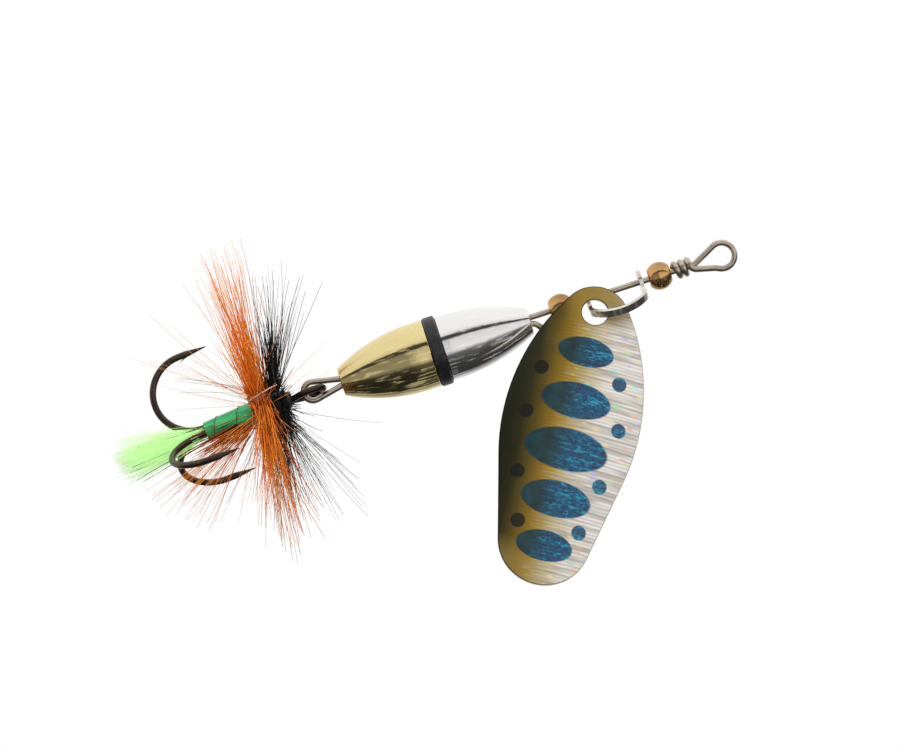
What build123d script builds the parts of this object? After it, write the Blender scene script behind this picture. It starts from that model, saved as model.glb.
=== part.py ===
from build123d import *
import math
import os

# In-line spinner, in millimetres. The origin is the centre of the line-tie eye, the straight shaft
# runs down -Z, and the blade hangs on the +X side. The convex face of the blade looks towards -Y.

# ---- shaft wire ----
WIRE_D = 0.66
WIRE_R = WIRE_D / 2
EYE_R = 1.38              # centreline radius of the line-tie eye
EYE_HALF_ANGLE = 27.0     # each leg of the eye leans this much from the shaft
NECK_BEND_R = 1.0
WRAP_R = 0.70             # centreline radius of the locking wraps
WRAP_PITCH = 0.72
WRAP_TURNS = 2.5
WRAP_TOP = -3.55          # where the wraps begin
WRAP_LEAD = 0.45          # straight lead into the first wrap
EYE_LEAD = 0.35
RETURN_GAP = 0.72         # distance from the shaft to the returning wire inside the body
TAIL_LOOP_R = 1.00        # centreline radius of the rear loop
TAIL_LOOP_Z = -45.8
TAIL_LOOP_LEAN = 12.0
TAG_TOP = -21.15          # where the cut end of the wire begins to splay
TAG_LEAN = 50.0
TAG_LENGTH = 0.85
LEG_BEND_R = 1.2

# ---- beads ----
BEAD_D = 3.0
BEAD_LENGTH = 2.4
BEAD_BORE = 0.80
BEAD_EDGE = 0.08
FRONT_BEAD_Z = -6.95
REAR_BEAD_Z = -18.0

# ---- clevis ----
CLEVIS_Z = -12.05
CLEVIS_HALF = 3.2         # half of its length along the shaft
CLEVIS_REACH = 4.5        # how far the bow stands from the shaft
CLEVIS_LEG = 2.9
CLEVIS_SHEET = 0.40
CLEVIS_WIDTH = 0.8
CLEVIS_TURN = 58.0        # the bow is turned this far from +X towards -Y
CLEVIS_CORNER = 0.55
EAR_R = 1.3
CLEVIS_BORE = 0.84

# ---- blade ----
HOLE_X = 1.65
HOLE_Y = -2.4
HOLE_Z = -14.8
HOLE_D = 2.8
BLADE_DROP = 31.3         # the long axis points this far below +X
BLADE_LEAN = 12.0         # and this far towards -Y
BLADE_SHEET = 0.50
BLADE_TOP = -2.9          # ends of the outline, measured from the hole along the blade
BLADE_TIP = 29.7
BLADE_HALF_WIDTH = 7.3
BLADE_SHIFT = 0.2         # the outline's middle line passes this far beside the hole
BLADE_WIDEST = 12.0       # how far below the hole the blade is widest
SIDE_R = 23.0
TAPER = 12.5              # slope of the straight lower sides
CUP_R = 20.0              # cup across the blade
ARCH_R = 150.0            # arch along the blade
ARCH_CENTRE = 13.0
BLANK_WIDTH = 17.0        # width of the dished blank that the outline is cut from
FOIL_SHEET = 0.08
FOIL_INSET = 0.10

# ---- body ----
BODY_X = RETURN_GAP / 2   # both wires share the bore, one each side of its axis
BODY_BORE = 1.50
FRONT_Z = -21.5
FRONT_LENGTH = 9.7
FRONT_NOSE_R = 1.40
FRONT_MAX_R = 3.50
FRONT_PARALLEL = 0.8      # length of nearly straight wall beside the ring
RING_LENGTH = 1.35
RING_R = 3.78
RING_EDGE = 0.25
REAR_LENGTH = 10.1
REAR_NOSE_R = 1.50
REAR_MAX_R = 3.70
REAR_PARALLEL = 1.3
NOSE_EDGE = 0.12

# ---- treble hook ----
HOOK_WIRE_D = 0.72
HOOK_R = HOOK_WIRE_D / 2
BUNDLE_R = 0.42           # three shanks side by side about the hook's axis
HOOK_TURN = -10.0         # the plane of the eye is turned this far about the axis
HOOK_EYE_R = 1.50
HOOK_EYE_Z = -46.15
HOOK_EYE_LEAN = 38.0
HOOK_TILT = -3.4          # the treble hangs this far off the shaft's line, towards +X
HOOK_HANG_Z = -44.65      # height of the point that it tilts about
BEND_Z = -58.0
BEND_R = 4.10
POINT_Z = -54.8
SPEAR_LENGTH = 2.3
POINT_TIP_R = 0.04
BARB_ROOT = 1.4           # the barb grows out of the spear this far behind its tip
BARB_LENGTH = 1.7
BARB_STAND = 0.55
BARB_R = 0.12
BARB_TIP_R = 0.03

# ---- dressing ----
HEAD_TOP = -48.35
HEAD_LENGTH = 0.95
HEAD_R = 0.92
HEAD_NECK_R = 0.85        # at the end nearest the eye
HEAD_END_R = 1.06
HEAD_SHOULDER = 0.32
BLACK_LENGTH = 1.10
BLACK_HUB_R = 1.55
ORANGE_LENGTH = 2.20
ORANGE_HUB_R = 1.85
QUILL_TURNS_BLACK = 3
QUILL_TURNS_ORANGE = 5
BLACK_FIBRE_R = 13.0
ORANGE_FIBRE_R = 14.0
FIBRE_ROOT = 0.60
FIBRE_RIM = 0.25
BLACK_SWEEP = 1.1         # the black collar leans towards the eye at its rim
ORANGE_SWEEP = 1.4        # the orange collar leans towards the bends
FLOSS_LENGTH = 5.35         # ends where the shanks begin to bend
FLOSS_TOP_R = 1.25
FLOSS_END_R = 1.00
RIB_TURNS = 2
RIB_D = 0.16
TUFT_LENGTH = 9.8
TUFT_R = 1.55
TUFT_ROOT_R = 0.50
TUFT_WIDE_AT = 3.6
TUFT_END_R = 0.35
STRAND_LENGTH = 6.4
STRAND_WIDTH = 0.30
STRAND_THICK = 0.14
STRAND_ROOT_R = 0.85      # the strands start under the edge of the floss
STRAND_TIP_R = 2.0
SOFT_GAP = 0.02           # clearance left where a soft piece wraps a hard one


def polar(radius, degrees):
    """Point at a radius and an azimuth about an axis along Z."""
    return radius * math.cos(math.radians(degrees)), radius * math.sin(math.radians(degrees))


def wire_along(path, radius):
    """Round wire along a path of straight runs and arcs."""
    start = path @ 0
    with BuildPart() as wire:
        with BuildSketch(Plane(origin=start, z_dir=path % 0)):
            Circle(radius)
        sweep(path=path)
    return wire.part


def teardrop(centre, radius, lean, offset):
    """Tangent point of a loop's leg and the point where that leg turns parallel to the axis."""
    slope = math.radians(lean)
    touch_out = radius * math.cos(slope)
    touch_down = radius * math.sin(slope)
    run = (touch_out - offset) / math.sin(slope)
    return touch_out, centre - touch_down, centre - touch_down - run * math.cos(slope)


# ================= shaft wire =================
# One length of wire: wraps, line-tie eye, straight shaft, rear loop, and back through the body.
eye_out, eye_touch_z, neck_z = teardrop(0, EYE_R, EYE_HALF_ANGLE, 0)
loop_out, loop_touch, loop_turn = teardrop(0, TAIL_LOOP_R, TAIL_LOOP_LEAN, BODY_X)
loop_touch_z = TAIL_LOOP_Z - loop_touch
loop_turn_z = TAIL_LOOP_Z - loop_turn

with BuildLine(Plane.XZ) as main_path:
    eye_arc = ThreePointArc((eye_out, eye_touch_z), (0, EYE_R), (-eye_out, eye_touch_z))
    shaft_run = FilletPolyline(
        (-eye_out, eye_touch_z),
        (0, neck_z),
        (0, loop_turn_z),
        (BODY_X - loop_out, loop_touch_z),
        radius=[NECK_BEND_R, LEG_BEND_R],
    )
    tail_arc = ThreePointArc(
        (BODY_X - loop_out, loop_touch_z),
        (BODY_X, TAIL_LOOP_Z - TAIL_LOOP_R),
        (BODY_X + loop_out, loop_touch_z),
    )
    tag_out, tag_up = polar(TAG_LENGTH, 90 - TAG_LEAN)
    return_run = FilletPolyline(
        (BODY_X + loop_out, loop_touch_z),
        (RETURN_GAP, loop_turn_z),
        (RETURN_GAP, TAG_TOP),
        (RETURN_GAP + tag_out, TAG_TOP + tag_up),
        radius=[LEG_BEND_R, WIRE_D],
    )

wrap_height = WRAP_PITCH * WRAP_TURNS
wrap_drop = WRAP_TOP - wrap_height
wrap_slope = math.atan2(WRAP_PITCH, 2 * math.pi * WRAP_R)
wrap_heading = Vector(-math.cos(wrap_slope), 0, -math.sin(wrap_slope))
wrap_start = Vector(0, -WRAP_R, WRAP_TOP)
wrap_corner = wrap_start - wrap_heading * WRAP_LEAD
eye_heading = Vector(-eye_out, 0, neck_z - eye_touch_z).normalized()
eye_end = Vector(eye_out, 0, eye_touch_z)
eye_corner = eye_end + eye_heading * EYE_LEAD
leg_heading = (wrap_corner - eye_corner).normalized()
coil = Helix(WRAP_PITCH, wrap_height, WRAP_R, center=(0, 0, wrap_drop))
coil = coil.rotate(Axis.Z, -90 - 360 * WRAP_TURNS)

with BuildLine() as lead_path:
    eye_bend = TangentArc(eye_end, eye_corner + leg_heading * EYE_LEAD, tangent=eye_heading)
    leg_run = Line(eye_bend @ 1, wrap_corner - leg_heading * WRAP_LEAD)
    wrap_bend = TangentArc(leg_run @ 1, wrap_start, tangent=leg_heading)

with BuildPart() as shaft_wire:
    add(wire_along(main_path.wires()[0], WIRE_R))
    add(wire_along(lead_path.wires()[0], WIRE_R))
    with BuildSketch(Plane(origin=coil @ 1, z_dir=coil % 1)):
        Circle(WIRE_R)
    sweep(path=coil)


# ================= beads =================
def bead(height):
    """Ball with flattened ends and a through bore."""
    with BuildPart() as ball:
        with BuildSketch(Plane.XZ) as half_ball:
            Circle(BEAD_D / 2)
            Rectangle(BEAD_D, BEAD_LENGTH, mode=Mode.INTERSECT)
            with Locations((-BEAD_D / 2, 0)):
                Rectangle(BEAD_D, BEAD_D, mode=Mode.SUBTRACT)
            Rectangle(BEAD_BORE, BEAD_D, mode=Mode.SUBTRACT)
            outer = half_ball.vertices().filter_by(lambda v: v.X > BEAD_BORE)
            rims = outer.filter_by(lambda v: abs(v.Y) > BEAD_EDGE)
            fillet(rims, BEAD_EDGE)
        revolve(axis=Axis.Z)
    return ball.part.moved(Location((0, 0, height)))


front_ball = bead(FRONT_BEAD_Z)
rear_ball = bead(REAR_BEAD_Z)

with BuildPart() as front_bead:
    add(front_ball)

with BuildPart() as rear_bead:
    add(rear_ball)

# ================= clevis =================
# A strip bent into a stirrup. Both ears ride on the shaft and the bow carries the blade.
bow_x, bow_y = polar(1, -CLEVIS_TURN)
bow_plane = Plane(origin=(0, 0, CLEVIS_Z), x_dir=(bow_x, bow_y, 0), z_dir=(bow_y, -bow_x, 0))
bow_rise = CLEVIS_REACH - CLEVIS_LEG
bow_r = (CLEVIS_HALF**2 + bow_rise**2) / (2 * bow_rise)
bow_centre = CLEVIS_REACH - bow_r
inner_r = bow_r - CLEVIS_SHEET
inner_half = CLEVIS_HALF - CLEVIS_SHEET
inner_leg = bow_centre + math.sqrt(inner_r**2 - inner_half**2)

with BuildPart() as clevis:
    with BuildSketch(bow_plane) as stirrup:
        with BuildLine():
            Line((0, inner_half), (0, CLEVIS_HALF))
            Line((0, CLEVIS_HALF), (CLEVIS_LEG, CLEVIS_HALF))
            ThreePointArc((CLEVIS_LEG, CLEVIS_HALF), (CLEVIS_REACH, 0), (CLEVIS_LEG, -CLEVIS_HALF))
            Line((CLEVIS_LEG, -CLEVIS_HALF), (0, -CLEVIS_HALF))
            Line((0, -CLEVIS_HALF), (0, -inner_half))
            Line((0, -inner_half), (inner_leg, -inner_half))
            ThreePointArc((inner_leg, -inner_half), (bow_centre + inner_r, 0), (inner_leg, inner_half))
            Line((inner_leg, inner_half), (0, inner_half))
        make_face()
        fillet(stirrup.vertices().filter_by(lambda v: v.X > EAR_R), CLEVIS_CORNER)
    extrude(amount=CLEVIS_WIDTH / 2, both=True)
    with BuildSketch(Plane.XY.offset(CLEVIS_Z + inner_half)):
        Circle(EAR_R)
    extrude(amount=CLEVIS_SHEET)
    with BuildSketch(Plane.XY.offset(CLEVIS_Z - CLEVIS_HALF)):
        Circle(EAR_R)
    extrude(amount=CLEVIS_SHEET)
    with BuildSketch(Plane.XY.offset(CLEVIS_Z - 2 * CLEVIS_HALF)):
        Circle(CLEVIS_BORE / 2)
    extrude(amount=4 * CLEVIS_HALF, mode=Mode.SUBTRACT)

# ================= blade =================
# The blade is a patch of a torus, cut to its outline. Its own axes are long, across and face.
drop = math.radians(BLADE_DROP)
lean = math.radians(BLADE_LEAN)
blade_long = Vector(
    math.cos(lean) * math.cos(drop), -math.sin(lean), -math.cos(lean) * math.sin(drop)
)
blade_face = Vector(
    -math.sin(lean) * math.cos(drop), -math.cos(lean), math.sin(lean) * math.sin(drop)
)
blade_plane = Plane(origin=(HOLE_X, HOLE_Y, HOLE_Z), x_dir=blade_long, z_dir=blade_face)


def blade_outline(inset):
    """Half of the outline: two round ends, long arcs and straight lower sides."""
    half = BLADE_HALF_WIDTH - inset
    side = SIDE_R - inset
    top = BLADE_TOP + inset
    tip = BLADE_TIP - inset
    depth = side - half
    # The top arc is tangent inside the side arc and has its centre on the blade's axis.
    across = BLADE_WIDEST - top
    top_r = (side**2 - across**2 - depth**2) / (2 * (side - across))
    top_centre = top + top_r
    reach = side / (side - top_r)
    top_join = (BLADE_WIDEST + (top_centre - BLADE_WIDEST) * reach, -depth + depth * reach)
    slope = math.radians(TAPER)
    side_join = (BLADE_WIDEST + side * math.sin(slope), side * math.cos(slope) - depth)
    # The tip arc is tangent to the straight side and ends at the tip.
    height = side_join[1] + side_join[0] * math.tan(slope)
    tip_r = (height - tip * math.tan(slope)) * math.cos(slope) / (1 - math.sin(slope))
    tip_centre = tip - tip_r
    tip_join = (tip_centre + tip_r * math.sin(slope), tip_r * math.cos(slope))
    with BuildSketch() as outline:
        with BuildLine():
            middle = (BLADE_WIDEST, half)
            top_mid = math.atan2(top_join[1], top_join[0] - top_centre) / 2 + math.pi / 2
            top_middle = (top_centre + top_r * math.cos(top_mid), top_r * math.sin(top_mid))
            tip_mid = (math.pi / 2 - slope) / 2
            tip_middle = (tip_centre + tip_r * math.cos(tip_mid), tip_r * math.sin(tip_mid))
            ThreePointArc((top, 0), top_middle, top_join)
            ThreePointArc(top_join, middle, side_join)
            Line(side_join, tip_join)
            ThreePointArc(tip_join, tip_middle, (tip, 0))
            Line((tip, 0), (top, 0))
        make_face()
        mirror(about=Plane.XZ)
    return outline.sketch


def dished_sheet(low, high):
    """Shell between two heights over the middle surface, before it is cut to an outline."""
    rise = ARCH_CENTRE**2 / (2 * ARCH_R)
    with BuildPart() as dish:
        with BuildSketch(Plane.YZ.offset(ARCH_CENTRE)):
            with Locations((0, rise - CUP_R)):
                Circle(CUP_R + high)
                Circle(CUP_R + low, mode=Mode.SUBTRACT)
            with Locations((0, rise)):
                Rectangle(BLANK_WIDTH, BLANK_WIDTH, mode=Mode.INTERSECT)
        arch_axis = Axis((ARCH_CENTRE, 0, rise - ARCH_R), (0, 1, 0))
        swing = math.degrees(math.atan2(BLADE_TIP, ARCH_R))
        revolve(axis=arch_axis, revolution_arc=2 * swing)
    return dish.part.rotate(arch_axis, -swing)


sheet_half = BLADE_SHEET / 2
blade_sheet = dished_sheet(-sheet_half, sheet_half)
foil_sheet = dished_sheet(sheet_half, sheet_half + FOIL_SHEET)
blade_edge = blade_outline(0)
foil_edge = blade_outline(FOIL_INSET)

with BuildPart() as blade_flat:
    with Locations((0, BLADE_SHIFT)):
        add(blade_edge)
    extrude(amount=CUP_R / 2, both=True)
    add(blade_sheet, mode=Mode.INTERSECT)
    with BuildSketch():
        Circle(HOLE_D / 2)
    extrude(amount=CUP_R / 2, both=True, mode=Mode.SUBTRACT)

with BuildPart() as foil_flat:
    with Locations((0, BLADE_SHIFT)):
        add(foil_edge)
    extrude(amount=CUP_R / 2, both=True)
    add(foil_sheet, mode=Mode.INTERSECT)
    with BuildSketch():
        Circle(HOLE_D / 2 + FOIL_INSET)
    extrude(amount=CUP_R / 2, both=True, mode=Mode.SUBTRACT)

with BuildPart() as blade:
    add(blade_flat.part.moved(blade_plane.location))

with BuildPart() as blade_foil:
    add(foil_flat.part.moved(blade_plane.location))


# ================= body =================
def bullet(face_z, length, nose_r, max_r, parallel, direction):
    """Turned bullet with its flat nose at face_z, growing along direction (1 is up)."""
    curve_length = length - parallel
    flare = max_r - nose_r
    ogive_r = (curve_length**2 + flare**2) / (2 * flare)
    back = math.asin(curve_length / ogive_r) / 2
    middle_r = max_r - ogive_r * (1 - math.cos(back))
    middle_z = direction * (curve_length - ogive_r * math.sin(back))
    with BuildPart() as shell:
        with BuildSketch(Plane.XZ):
            with BuildLine():
                Line((BODY_BORE / 2, 0), (nose_r, 0))
                ThreePointArc((nose_r, 0), (middle_r, middle_z), (max_r, direction * curve_length))
                Line((max_r, direction * curve_length), (max_r, direction * length))
                Line((max_r, direction * length), (BODY_BORE / 2, direction * length))
                Line((BODY_BORE / 2, direction * length), (BODY_BORE / 2, 0))
            make_face()
        revolve(axis=Axis.Z)
        round_edges = shell.edges().filter_by(GeomType.CIRCLE)
        nose_edges = round_edges.filter_by(lambda e: abs(e.radius - nose_r) < NOSE_EDGE)
        wide_edges = round_edges.filter_by(lambda e: e.radius > nose_r + NOSE_EDGE)
        ring_edges = wide_edges.filter_by(lambda e: abs(abs(e.center().Z) - length) < NOSE_EDGE)
        fillet(nose_edges + ring_edges, NOSE_EDGE)
    return shell.part.moved(Location((BODY_X, 0, face_z)))


ring_z = FRONT_Z - FRONT_LENGTH - RING_LENGTH / 2
rear_face_z = FRONT_Z - FRONT_LENGTH - RING_LENGTH - REAR_LENGTH
front_bullet = bullet(FRONT_Z, FRONT_LENGTH, FRONT_NOSE_R, FRONT_MAX_R, FRONT_PARALLEL, -1)
rear_bullet = bullet(rear_face_z, REAR_LENGTH, REAR_NOSE_R, REAR_MAX_R, REAR_PARALLEL, 1)

with BuildPart() as body_front:
    add(front_bullet)

with BuildPart() as body_ring:
    with BuildSketch(Plane.XY.offset(ring_z - RING_LENGTH / 2)):
        with Locations((BODY_X, 0)):
            Circle(RING_R)
            Circle(BODY_BORE / 2, mode=Mode.SUBTRACT)
    extrude(amount=RING_LENGTH)
    fillet(body_ring.edges().filter_by(GeomType.CIRCLE).group_by(SortBy.RADIUS)[-1], RING_EDGE)

with BuildPart() as body_rear:
    add(rear_bullet)

# ================= treble hook =================
# A double hook, whose wire also forms the eye, with a single hook laid in the groove behind it.
pair_angle = 60.0
pair_offset = BUNDLE_R * math.cos(math.radians(pair_angle))
pair_half = BUNDLE_R * math.sin(math.radians(pair_angle))
shift_x, shift_y = polar(pair_offset, HOOK_TURN)
HOOK_X = BODY_X - shift_x
HOOK_Y = -shift_y
ring_out, ring_touch_z, shank_top = teardrop(HOOK_EYE_Z, HOOK_EYE_R, HOOK_EYE_LEAN, pair_half)


def taper(base, span, base_r, end_r):
    """Cone from base along span."""
    cone = Cone(base_r, end_r, span.length, align=(Align.CENTER, Align.CENTER, Align.MIN))
    return cone.moved(Plane(origin=base, z_dir=span.normalized()).location)


def hook_limb(azimuth, top):
    """Shank, round bend, spear point and barb of one hook, in the plane at this azimuth."""
    out_x, out_y = polar(1, azimuth)
    plane = Plane(origin=(HOOK_X, HOOK_Y, 0), x_dir=(out_x, out_y, 0), z_dir=(out_y, -out_x, 0))
    outer = BUNDLE_R + 2 * BEND_R
    with BuildLine(plane) as path:
        Line((BUNDLE_R, top), (BUNDLE_R, BEND_Z))
        ThreePointArc((BUNDLE_R, BEND_Z), (BUNDLE_R + BEND_R, BEND_Z - BEND_R), (outer, BEND_Z))
    limb = wire_along(path.wires()[0], HOOK_R)
    barb_root = plane.from_local_coords((outer, POINT_Z - BARB_ROOT, 0))
    barb_tip = plane.from_local_coords((outer - BARB_STAND, POINT_Z - BARB_ROOT - BARB_LENGTH, 0))
    barb = taper(barb_root, barb_tip - barb_root, BARB_R, BARB_TIP_R)
    with BuildPart() as spear:
        with BuildSketch(plane):
            with BuildLine():
                Polyline(
                    (outer, BEND_Z),
                    (outer + HOOK_R, BEND_Z),
                    (outer + HOOK_R, POINT_Z - SPEAR_LENGTH),
                    (outer + POINT_TIP_R, POINT_Z),
                    (outer, POINT_Z),
                    close=True,
                )
            make_face()
        revolve(axis=Axis(plane.from_local_coords((outer, 0, 0)), (0, 0, 1)))
    with BuildPart() as hook:
        add(limb)
        add(spear.part)
        add(barb)
    return hook.part


limb_near = hook_limb(HOOK_TURN - pair_angle, shank_top)
limb_far = hook_limb(HOOK_TURN + pair_angle, shank_top)
limb_single = hook_limb(HOOK_TURN + 180, shank_top)

side_x, side_y = polar(1, HOOK_TURN + 90)
eye_plane = Plane(origin=(BODY_X, 0, 0), x_dir=(side_x, side_y, 0), z_dir=(side_y, -side_x, 0))
with BuildLine(eye_plane) as hook_eye_path:
    Line((pair_half, shank_top), (ring_out, ring_touch_z))
    ThreePointArc((ring_out, ring_touch_z), (0, HOOK_EYE_Z + HOOK_EYE_R), (-ring_out, ring_touch_z))
    Line((-ring_out, ring_touch_z), (-pair_half, shank_top))
hook_eye = wire_along(hook_eye_path.wires()[0], HOOK_R)
joint_ball = Sphere(HOOK_R)

with BuildPart() as double_hook:
    add(limb_near)
    add(limb_far)
    add(hook_eye)
    for side in (-pair_half, pair_half):
        with Locations(eye_plane.from_local_coords((side, shank_top, 0))):
            add(joint_ball)

with BuildPart() as single_hook:
    add(limb_single)

# ================= dressing =================
# Every wrapped piece is a turned solid about the hook's axis with the three shanks cut out.
shank_length = shank_top - BEND_Z
with BuildPart() as shank_core:
    with BuildSketch(Plane.XY.offset(BEND_Z)):
        for azimuth in (HOOK_TURN - pair_angle, HOOK_TURN + pair_angle, HOOK_TURN + 180):
            core_x, core_y = polar(BUNDLE_R, azimuth)
            with Locations((HOOK_X + core_x, HOOK_Y + core_y)):
                Circle(HOOK_R + SOFT_GAP)
        with Locations((HOOK_X, HOOK_Y)):
            Circle(BUNDLE_R)
    extrude(amount=shank_length)
core = shank_core.part

hook_axis = Axis((HOOK_X, HOOK_Y, 0), (0, 0, 1))
turning_plane = Plane(origin=(HOOK_X, HOOK_Y, 0), x_dir=(1, 0, 0), z_dir=(0, -1, 0))

black_top = HEAD_TOP - HEAD_LENGTH
orange_top = black_top - BLACK_LENGTH
floss_top = orange_top - ORANGE_LENGTH
floss_end = floss_top - FLOSS_LENGTH


def collar_hub(top, length, radius, turns):
    """Quill wound side by side: a spool with one rounded ridge for each turn."""
    pitch = length / turns
    with BuildPart() as hub:
        with BuildSketch(turning_plane):
            with Locations(((radius - pitch / 2) / 2, top - length / 2)):
                Rectangle(radius - pitch / 2, length)
            for turn in range(turns):
                with Locations((radius - pitch / 2, top - pitch * (turn + 0.5))):
                    Circle(pitch / 2)
            with Locations((-radius, top - length / 2)):
                Rectangle(2 * radius, 2 * length, mode=Mode.SUBTRACT)
        revolve(axis=hook_axis)
        add(core, mode=Mode.SUBTRACT)
    return hub.part


def fibre_collar(middle, hub_r, rim_r, sweep_z):
    """Thin dish that the fibres fill, from the hub to their tips."""
    with BuildPart() as dish:
        with BuildSketch(turning_plane):
            with BuildLine():
                Polyline(
                    (hub_r, middle + FIBRE_ROOT / 2),
                    (rim_r, middle + sweep_z + FIBRE_RIM / 2),
                    (rim_r, middle + sweep_z - FIBRE_RIM / 2),
                    (hub_r, middle - FIBRE_ROOT / 2),
                    close=True,
                )
            make_face()
        revolve(axis=hook_axis)
    return dish.part


black_hub = collar_hub(black_top, BLACK_LENGTH, BLACK_HUB_R, QUILL_TURNS_BLACK)
orange_hub = collar_hub(orange_top, ORANGE_LENGTH, ORANGE_HUB_R, QUILL_TURNS_ORANGE)
black_middle = black_top - BLACK_LENGTH / 2
orange_middle = orange_top - ORANGE_LENGTH / 2
black_dish = fibre_collar(black_middle, BLACK_HUB_R + SOFT_GAP, BLACK_FIBRE_R, BLACK_SWEEP)
orange_dish = fibre_collar(orange_middle, ORANGE_HUB_R + SOFT_GAP, ORANGE_FIBRE_R, -ORANGE_SWEEP)

with BuildPart() as thread_head:
    with BuildSketch(turning_plane):
        with BuildLine():
            Polyline(
                (0, HEAD_TOP),
                (HEAD_NECK_R, HEAD_TOP),
                (HEAD_R, HEAD_TOP - HEAD_SHOULDER),
                (HEAD_END_R, black_top),
                (0, black_top),
                close=True,
            )
        make_face()
    revolve(axis=hook_axis)
    add(core, mode=Mode.SUBTRACT)

with BuildPart() as black_hackle_quill:
    add(black_hub)

with BuildPart() as black_hackle_fibres:
    add(black_dish)

with BuildPart() as orange_hackle_quill:
    add(orange_hub)

with BuildPart() as orange_hackle_fibres:
    add(orange_dish)

with BuildPart() as floss_body:
    with BuildSketch(turning_plane):
        with BuildLine():
            Polyline(
                (0, floss_top),
                (FLOSS_TOP_R, floss_top),
                (FLOSS_END_R, floss_end),
                (0, floss_end),
                close=True,
            )
        make_face()
    revolve(axis=hook_axis)
    add(core, mode=Mode.SUBTRACT)

with BuildPart() as rib_thread:
    rib_pitch = FLOSS_LENGTH / RIB_TURNS
    for turn in range(RIB_TURNS):
        rib_z = floss_top - rib_pitch * (turn + 0.5)
        rib_r = FLOSS_TOP_R + (FLOSS_END_R - FLOSS_TOP_R) * (turn + 0.5) / RIB_TURNS
        with BuildSketch(turning_plane):
            with Locations((rib_r + RIB_D / 2, rib_z)):
                Circle(RIB_D / 2)
        revolve(axis=hook_axis)

with BuildPart() as tail_tuft:
    with BuildSketch(turning_plane):
        with BuildLine():
            Line((0, floss_end), (TUFT_ROOT_R, floss_end))
            Spline(
                (TUFT_ROOT_R, floss_end),
                (TUFT_R, floss_end - TUFT_WIDE_AT),
                (TUFT_END_R, floss_end - TUFT_LENGTH),
            )
            Line((TUFT_END_R, floss_end - TUFT_LENGTH), (0, floss_end - TUFT_LENGTH))
            Line((0, floss_end - TUFT_LENGTH), (0, floss_end))
        make_face()
    revolve(axis=hook_axis)
    for limb in (limb_near, limb_far, limb_single):
        add(limb, mode=Mode.SUBTRACT)

with BuildPart() as tail_strands:
    for azimuth in (HOOK_TURN, HOOK_TURN + 120, HOOK_TURN - 120):
        out_x, out_y = polar(1, azimuth)
        strand_plane = Plane(
            origin=(HOOK_X, HOOK_Y, 0), x_dir=(out_x, out_y, 0), z_dir=(out_y, -out_x, 0)
        )
        with BuildSketch(strand_plane):
            with BuildLine():
                Polyline(
                    (STRAND_ROOT_R, floss_end),
                    (STRAND_ROOT_R + STRAND_THICK, floss_end),
                    (STRAND_TIP_R + STRAND_THICK, floss_end - STRAND_LENGTH),
                    (STRAND_TIP_R, floss_end - STRAND_LENGTH),
                    close=True,
                )
            make_face()
        extrude(amount=STRAND_WIDTH / 2, both=True)
    add(tail_tuft.part, mode=Mode.SUBTRACT)

# The hook and its dressing are made upright, then tilted together where they hang in the loop.
hang_axis = Axis((BODY_X, 0, HOOK_HANG_Z), (0, 1, 0))
TREBLE = {
    "double_hook": double_hook,
    "single_hook": single_hook,
    "thread_head": thread_head,
    "black_hackle_quill": black_hackle_quill,
    "black_hackle_fibres": black_hackle_fibres,
    "orange_hackle_quill": orange_hackle_quill,
    "orange_hackle_fibres": orange_hackle_fibres,
    "floss_body": floss_body,
    "rib_thread": rib_thread,
    "tail_tuft": tail_tuft,
    "tail_strands": tail_strands,
}
HARDWARE = {
    "shaft_wire": shaft_wire,
    "front_bead": front_bead,
    "rear_bead": rear_bead,
    "clevis": clevis,
    "blade": blade,
    "blade_foil": blade_foil,
    "body_front": body_front,
    "body_ring": body_ring,
    "body_rear": body_rear,
}

os.makedirs("parts", exist_ok=True)
for label, node in HARDWARE.items():
    node.part.label = label
    export_step(node.part, "parts/" + label + ".step")
for label, node in TREBLE.items():
    hung = node.part.rotate(hang_axis, HOOK_TILT)
    hung.label = label
    export_step(hung, "parts/" + label + ".step")
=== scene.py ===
import math
import random

import bpy
from mathutils import Matrix, Vector


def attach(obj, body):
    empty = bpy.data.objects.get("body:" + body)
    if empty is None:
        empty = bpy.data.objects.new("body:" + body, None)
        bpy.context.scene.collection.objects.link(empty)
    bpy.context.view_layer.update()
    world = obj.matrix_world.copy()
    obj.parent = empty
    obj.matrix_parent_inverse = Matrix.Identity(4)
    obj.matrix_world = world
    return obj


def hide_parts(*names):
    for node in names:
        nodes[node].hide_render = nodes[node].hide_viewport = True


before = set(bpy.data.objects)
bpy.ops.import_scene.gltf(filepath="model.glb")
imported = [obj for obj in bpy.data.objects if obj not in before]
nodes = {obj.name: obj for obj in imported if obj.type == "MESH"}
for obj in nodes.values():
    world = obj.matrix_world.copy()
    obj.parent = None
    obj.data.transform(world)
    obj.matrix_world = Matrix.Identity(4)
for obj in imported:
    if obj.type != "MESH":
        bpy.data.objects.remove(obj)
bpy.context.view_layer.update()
MM = 0.001
rng = random.Random(11)

# sockets of a colour mix node, which shares its names with the number and vector kinds
MIX_A, MIX_B, MIX_RESULT = 6, 7, 2
NOISE_ROUGHNESS = 0.55


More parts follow.
